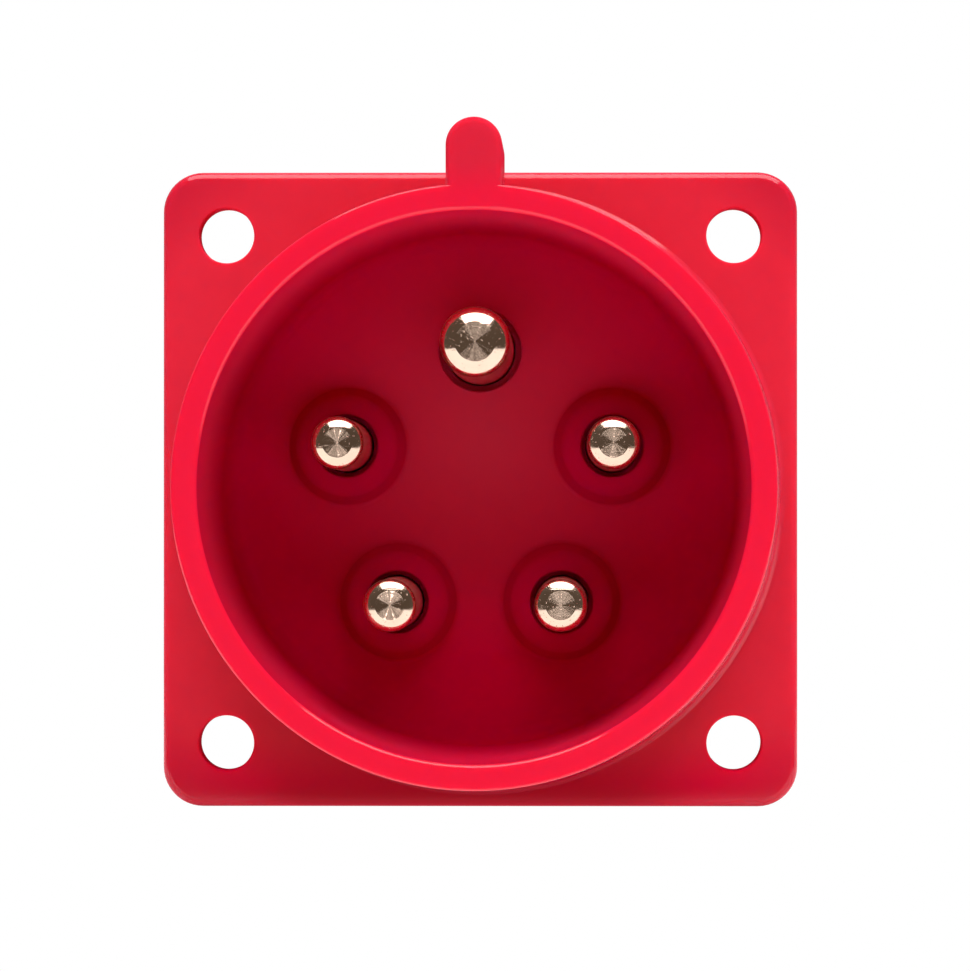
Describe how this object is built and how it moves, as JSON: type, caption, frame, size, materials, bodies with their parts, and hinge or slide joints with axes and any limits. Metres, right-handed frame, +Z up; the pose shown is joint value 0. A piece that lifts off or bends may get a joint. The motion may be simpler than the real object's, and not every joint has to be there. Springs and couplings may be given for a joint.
{
  "type": "panel mount appliance inlet",
  "caption": "Industrial round power inlet with a red keyed shroud on a square flange, brass pins and rear clamp terminals.",
  "frame": {"origin": "centre of the square flange on its panel side", "axes": "+Y into the panel along the pins, so the shroud faces -Y; +Z up to the key nose; +X to the right"},
  "size_m": [0.075, 0.0786, 0.0787],
  "materials": {
    "housing_red": "satin moulded",
    "gasket_black": "matt",
    "carrier_charcoal": "matt moulded",
    "pin_brass": "turned and polished",
    "screw_zinc": "zinc plated"
  },
  "bodies": {
    "inlet": {"housing": "housing_red", "flange_gasket": "gasket_black", "contact_carrier": "carrier_charcoal", "pin_line_1": "pin_brass", "pin_line_2": "pin_brass", "pin_line_3": "pin_brass", "pin_neutral": "pin_brass", "pin_earth": "pin_brass", "carrier_screw_right": "screw_zinc", "carrier_screw_left": "screw_zinc", "carrier_screw_bottom": "screw_zinc"},
    "clamp_line_1": {"clamp_screw_line_1": "screw_zinc"},
    "clamp_line_2": {"clamp_screw_line_2": "screw_zinc"},
    "clamp_line_3": {"clamp_screw_line_3": "screw_zinc"},
    "clamp_neutral": {"clamp_screw_neutral": "screw_zinc"},
    "clamp_earth": {"clamp_screw_earth": "screw_zinc"}
  },
  "joints": [
    {"name": "clamp_line_1_slide", "type": "slide", "parent": "inlet", "child": "clamp_line_1", "axis": [0.9511, 0, -0.309], "range_m": [0, 0.0034]},
    {"name": "clamp_line_2_slide", "type": "slide", "parent": "inlet", "child": "clamp_line_2", "axis": [0.5878, 0, 0.809], "range_m": [0, 0.0034]},
    {"name": "clamp_line_3_slide", "type": "slide", "parent": "inlet", "child": "clamp_line_3", "axis": [-0.5878, 0, 0.809], "range_m": [0, 0.0034]},
    {"name": "clamp_neutral_slide", "type": "slide", "parent": "inlet", "child": "clamp_neutral", "axis": [-0.9511, 0, -0.309], "range_m": [0, 0.0034]},
    {"name": "clamp_earth_slide", "type": "slide", "parent": "inlet", "child": "clamp_earth", "axis": [0, 0, -1], "range_m": [0, 0.0034]}
  ]
}
